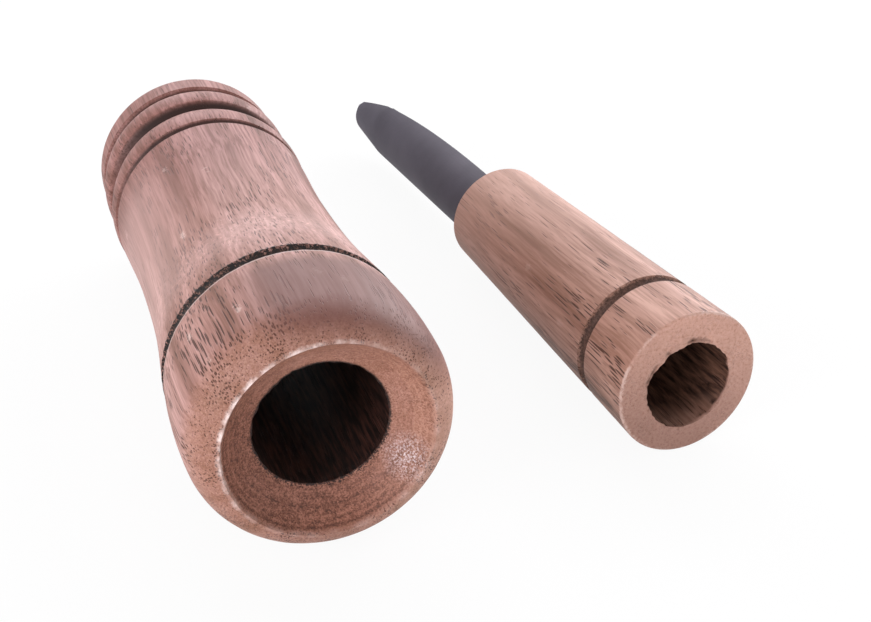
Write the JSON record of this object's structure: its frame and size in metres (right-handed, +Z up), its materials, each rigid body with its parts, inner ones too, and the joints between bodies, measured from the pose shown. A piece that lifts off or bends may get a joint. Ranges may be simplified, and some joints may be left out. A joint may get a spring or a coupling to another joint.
{
  "type": "bird call",
  "caption": "Turned wooden bird call taken apart: a bulbed barrel with a dished mouth lies beside its tapered insert, whose half-round tone board and springy reed stand out of the narrow end",
  "frame": {"origin": "On the floor under the middle of the pair's bounding box", "axes": "+Z is up from the floor the pair lies on. The barrel lies along +Y, with its dished mouth at -Y and its beaded end at +Y. The insert lies on the +X side, its wide end at -Y and its tongue pointing to +Y"},
  "size_m": [0.0726, 0.0994, 0.0319],
  "materials": {
    "barrel_wood": "oiled walnut with a soft sheen, burnt black in the groove behind the bulge",
    "insert_wood": "oiled walnut with dark streaks along the grain",
    "board_plastic": "matte black moulded plastic",
    "cork": "natural cork, uncoated",
    "reed_film": "matte dark grey polyester film"
  },
  "bodies": {
    "barrel": {"barrel": "barrel_wood"},
    "insert": {"insert": "insert_wood"},
    "voice": {"tone_board": "board_plastic", "wedge": "cork", "reed_root": "reed_film"},
    "reed": {"reed_blade": "reed_film"}
  },
  "joints": [
    {"name": "insert_draw", "type": "slide", "parent": "barrel", "child": "insert", "axis": [0.1205, -0.9927, 0], "range_m": [0, 0.0589]},
    {"name": "voice_pull", "type": "slide", "parent": "insert", "child": "voice", "axis": [-0.1204, 0.9916, -0.0466], "range_m": [0, 0.0224]},
    {"name": "reed_flex", "type": "hinge", "parent": "voice", "child": "reed", "pos_m": [0.02158, 0.00754, 0.00729], "axis": [0.0056, -0.0463, -0.9989], "range_deg": [-0.8, 2], "stiffness_Nm_per_rad": 0.002}
  ]
}
